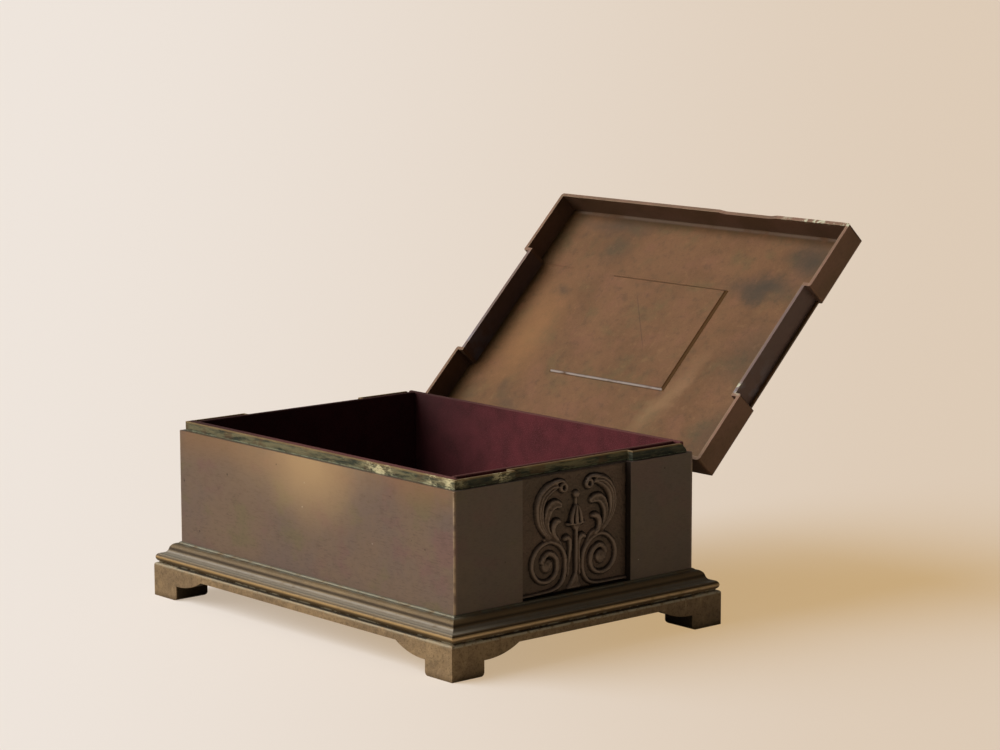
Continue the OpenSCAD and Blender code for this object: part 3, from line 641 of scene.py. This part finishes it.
# Lid: a cast plate with a panel pressed into it and four mitred rim strips round it, which step
# in at the side recesses. Warm brown inside with dark greenish clouds, dark brown outside. Its
# colours are laid out on the shut lid, so its open place is turned back about the hinge.
open_angle = 134.4
axis_y, axis_z = 99.2, 106.7


def shut(place):
    """The coordinates in mm that a point of the open lid has when the lid is shut."""
    moved = place.node("ShaderNodeVectorMath", {0: place, 1: (0, axis_y, axis_z)}, operation="SUBTRACT")
    return moved.node("ShaderNodeMapping", {"Vector": moved, "Location": (0, axis_y, axis_z),
                                            "Rotation": (math.radians(open_angle), 0, 0)})


lid_bronze, place = start("lid_bronze")
place = shut(place)
x, y, z = place.axes()
cloud = place.noise(60, 5, 0.6)
tint = place.noise(26, 6, 0.65)
mottle = place.noise(7, 6, 0.7)
grain = place.noise(0.9, 3, 0.7)
bent_x = x + 34 * place.noise(26, 6, 0.65) - 17
bent_y = y + 34 * place.shifted(50, 50, 0).noise(26, 6, 0.65) - 17
shade = cloud.between(0.36, 0.64).mixed(colour("#55391f"), colour("#5e4026"))
shade = shade.tinted(tint.between(0.5, 0.68), "#4c3f22", 0.5)
shade = shade.tinted(tint.between(0.47, 0.34), "#63402c", 0.45)
shade = shade.tinted(mottle.between(0.5, 0.68), "#3a2c18", 0.4)
shade = shade.tinted(mottle.between(0.46, 0.3), "#6f5034", 0.35)
shade = shade.tinted(grain.between(0.5, 0.75), "#38290f", 0.3)

# Light and dark clouds, and dark borders along the rim
shade = shade.tinted(blot(bent_x, bent_y, (-98, 18), (34, 75)), "#7d5832", 0.5)
shade = shade.tinted(blot(bent_x + 0.25 * y, bent_y, (74, 48), (14, 56)), "#7c6244", 0.4)
dark_clouds = (((84, -47), (50, 16), 0.8), ((110, -78), (34, 28), 0.75), ((-68, -66), (20, 18), 0.4),
               ((-80, -88), (60, 14), 0.5), ((-96, -27), (12, 10), 0.5), ((-76, 72), (18, 12), 0.35),
               ((-88, 62), (12, 10), 0.35), ((112, 5), (40, 44), 0.35), ((118, 70), (28, 34), 0.35))
for middle, size, share in dark_clouds:
    shade = shade.tinted(blot(bent_x, bent_y, middle, size), "#26231a", share)
shade = shade.tinted(abs(y).between(82, 99) * tint.between(0.3, 0.6), "#2f2816", 0.6)
shade = shade.tinted(abs(x).between(108, 138) * tint.between(0.3, 0.6), "#352a18", 0.55)

# A crack in the panel, a painted reflection and painted light on two of the panel's edges, and a worn
# line along the front
crack = (1.14 * x - y - 5).near(0, 0.9) * x.between(-25, -15) * x.between(18, 10)
shade = shade.tinted(crack, "#2b2016", 0.5)
painted_reflection_edge = y.near(42.3, 0.9) * abs(x).between(55.5, 54.5)
broken = place.stretched(4, 1, 1).noise(3, 3).between(0.2, 0.5)
shade = shade.tinted(painted_reflection_edge * broken, "#b5aba6", 0.9)
# Painted light on the panel's right-hand edge
shade = shade.tinted(x.near(55.6, 1.0) * abs(y).between(43.6, 43), "#80603f", 0.8)
front_edge = y.near(-94.2, 2.4) * abs(x).between(136, 128) * tint.between(0.3, 0.55)
shade = shade.tinted(front_edge, "#766459", 0.6)
outside = z.between(126.6, 126.9)
shade = shade.tinted(outside, "#56453a", 0.85)
bumps = grain * 0.25 + place.noise(18, 2) * 2 + mottle * 0.5
finish(shade, 0.42 + 0.2 * grain, bumps, 0.06, metallic=0.4)
dress(lid_bronze, "lid_plate")

rim_bronze, place = start("rim_bronze")
place = shut(place)
x, y, z = place.axes()
cloud = place.noise(26, 3)
grain = place.stretched(1, 4, 1).noise(0.8, 3, 0.7)
shade = cloud.between(0.35, 0.65).mixed(colour("#5e4837"), colour("#694f40"))
shade = shade.tinted(grain.between(0.5, 0.75), "#3a2f28", 0.4)

# The strips at the side recesses are greyer, free edges are worn and carry a painted highlight, and two
# spots crusted
recessed = abs(y).between(44.6, 44.4) * abs(x).between(131, 133)
shade = shade.tinted(recessed, "#55494b", 0.6)
shade = shade.tinted(recessed * y.between(0, 40) * place.noise(14).between(0.4, 0.6), "#6f7482", 0.4)
# Worn free edges with a painted highlight
worn = abs(x).near(137.6, 0.5).maths("MAXIMUM", abs(x).near(132.6, 0.5))
worn = worn.maths("MAXIMUM", abs(y).near(95.6, 0.5))
shade = shade.tinted(z.between(111.3, 110.9) * worn * place.noise(9).between(0.3, 0.55), "#857459", 0.4)
crust_front = x.between(60, 110) * y.between(-94, -96)
crust_side = blot(y, z, (40, 111), (9, 5)) * x.between(130, 131)
crust = place.noise(4, 4).between(0.5, 0.62) * z.between(113, 111)
shade = shade.tinted(crust * crust_front.maths("MAXIMUM", crust_side), "#a9ab94", 0.8)
finish(shade, 0.4 + 0.18 * grain, grain * 0.4 + cloud, 0.05, metallic=0.45)
dress(rim_bronze, "lid_rim_front", "lid_rim_back", "lid_rim_left", "lid_rim_right")


# Studio: a plain cream floor that runs back out of sight, a wide soft lamp high on the left,
# and pale surroundings. The floor keeps the chest's shadow and turns warmer to the right. Half
# of its pale colour, and all of the background's, is for the camera alone and lights nothing.
reach = 40.0
rings, spokes = 41, 96
turn = np.linspace(0, 2 * np.pi, spokes + 1)[:-1]
ring = np.concatenate([[0.0], np.geomspace(0.2, reach, rings - 1)])
across, along = np.outer(ring, np.cos(turn)), np.outer(ring, np.sin(turn))
floor_points = np.stack([across, along, np.zeros((rings, spokes))], axis=-1)
index = np.arange(rings * spokes).reshape(rings, spokes)
onward = np.roll(index, -1, axis=1)
quads = np.stack([index[:-1], index[1:], onward[1:], onward[:-1]], axis=-1).reshape(-1, 4)
floor_mesh = bpy.data.meshes.new("floor")
floor_mesh.from_pydata(floor_points.reshape(-1, 3).tolist(), [], quads.tolist())
floor = bpy.data.objects.new("floor", floor_mesh)
bpy.context.scene.collection.objects.link(floor)
floor_cream = bpy.data.materials.new("floor_cream")
floor_cream.use_nodes = True
floor_cream.node_tree.nodes.clear()
place = Wire(floor_cream.node_tree.nodes.new("ShaderNodeTexCoord").outputs["Object"])
x, y, z = place.axes()
across = x * float(right[0]) + y * float(right[1])
away = -1 * (x * float(back[0]) + y * float(back[1]))
fan = (across / (away + 1.95).maths("MAXIMUM", 0.6)).between(-0.19, 0.2)
shade = fan.mixed(colour("#ebebed"), colour("#a5c2e3"))
ray = shade.node("ShaderNodeLightPath")
lit = shade.node("ShaderNodeBsdfDiffuse", {"Color": ray.mixed(colour("#e9d9c1"), shade)})
warm = fan.mixed(colour("#efe2d5"), colour("#ffd28c"))
seen = shade.node("ShaderNodeEmission", {"Color": warm, "Strength": 1.1})
surface = shade.node("ShaderNodeMixShader", {0: ray * 0.5, 1: lit, 2: seen})
surface.node("ShaderNodeOutputMaterial", {"Surface": surface})
floor.data.materials.append(floor_cream)

# The lamp is a wide sun, and the surroundings are brighter on the photograph's left
key = bpy.data.objects.new("key", bpy.data.lights.new("key", "SUN"))
key.data.energy = 3.5
key.data.angle = math.radians(55)
key.data.color = (1.0, 0.965, 0.92)
toward = np.array([-0.6, -0.7, 0.72])
axis = toward / np.linalg.norm(toward)
side = np.cross((0, 0, 1), axis)
side /= np.linalg.norm(side)
key.matrix_world = Matrix(np.column_stack([side, np.cross(axis, side), axis])).to_4x4()
bpy.context.scene.collection.objects.link(key)

world = bpy.data.worlds.new("surroundings")
world.use_nodes = True
world.node_tree.nodes.clear()
bpy.context.scene.world = world
ray = Wire(world.node_tree.nodes.new("ShaderNodeLightPath").outputs["Is Camera Ray"])
seen = ray.node("ShaderNodeBackground", {"Color": colour("#e2d8c9"), "Strength": 1.0})
x, y, z = ray.node("ShaderNodeTexCoord").axes()
leftward = x * float(-right[0]) + y * float(-right[1])
glow = leftward.between(-0.5, 0.9).mixed((0.1, 0.09, 0.08, 1.0), (0.9, 0.85, 0.78, 1.0))
lit = ray.node("ShaderNodeBackground", {"Color": glow, "Strength": 0.6})
surface = ray.node("ShaderNodeMixShader", {0: ray, 1: lit, 2: seen})
surface.node("ShaderNodeOutputWorld", {"Surface": surface})

bpy.context.scene.view_settings.view_transform = "Standard"
